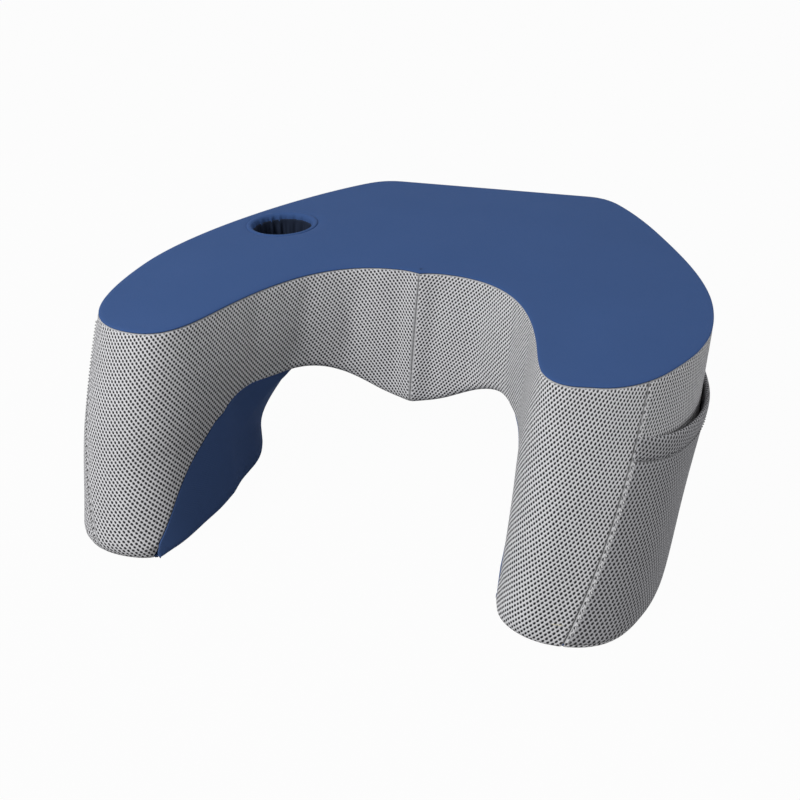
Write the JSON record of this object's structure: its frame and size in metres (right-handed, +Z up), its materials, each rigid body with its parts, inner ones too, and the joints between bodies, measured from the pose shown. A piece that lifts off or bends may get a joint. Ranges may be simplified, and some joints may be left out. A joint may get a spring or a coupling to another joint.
{
  "type": "cushioned lap desk",
  "caption": "U-shaped cushioned lap desk with a flat fabric work surface, mesh sides, a cup well, a side pocket, a double thigh arch and a zipped rear wall.",
  "frame": {"origin": "middle of the bounding box, on the floor under the feet", "axes": "+X to the user's right, +Y away from the user, +Z up"},
  "size_m": [0.602, 0.5912, 0.196],
  "materials": {
    "top_fabric": "smooth blue knit laminated to thin foam",
    "under_fabric": "plain dark blue knit",
    "spacer_mesh": "light grey spacer mesh with dark eyelets",
    "pocket_mesh": "grey spacer mesh with dark eyelets",
    "foam": "open-cell polyurethane foam",
    "zip_tape": "woven polyester tape",
    "zip_teeth": "moulded nylon",
    "zip_metal": "satin plated zinc"
  },
  "bodies": {
    "cushion": {"foam_core": "foam", "top_panel": "top_fabric", "underside_panel": "under_fabric", "front_mesh_left": "spacer_mesh", "side_mesh_left": "spacer_mesh", "front_mesh_right": "spacer_mesh", "side_mesh_right": "spacer_mesh", "rear_mesh_upper": "spacer_mesh", "rear_mesh_lower": "spacer_mesh", "pocket_panel": "pocket_mesh", "pocket_hem": "pocket_mesh", "cup_lining": "under_fabric", "cup_base": "under_fabric", "cup_rim": "top_fabric", "zip_tape_upper": "zip_tape", "zip_tape_lower": "zip_tape", "zip_teeth_upper": "zip_teeth", "zip_teeth_lower": "zip_teeth", "zip_top_stop_upper": "zip_metal", "zip_top_stop_lower": "zip_metal", "zip_bottom_stop": "zip_metal"},
    "zip_slider": {"zip_slider": "zip_metal"},
    "zip_pull": {"zip_pull": "zip_metal"}
  },
  "joints": [
    {"name": "zip_slide", "type": "slide", "parent": "cushion", "child": "zip_slider", "axis": [1, 0, 0], "range_m": [-0.205, 0]},
    {"name": "zip_pull_hinge", "type": "hinge", "parent": "zip_slider", "child": "zip_pull", "pos_m": [0.09794, 0.29312, 0.15], "axis": [0, 0, -1], "range_deg": [0, 175]}
  ]
}
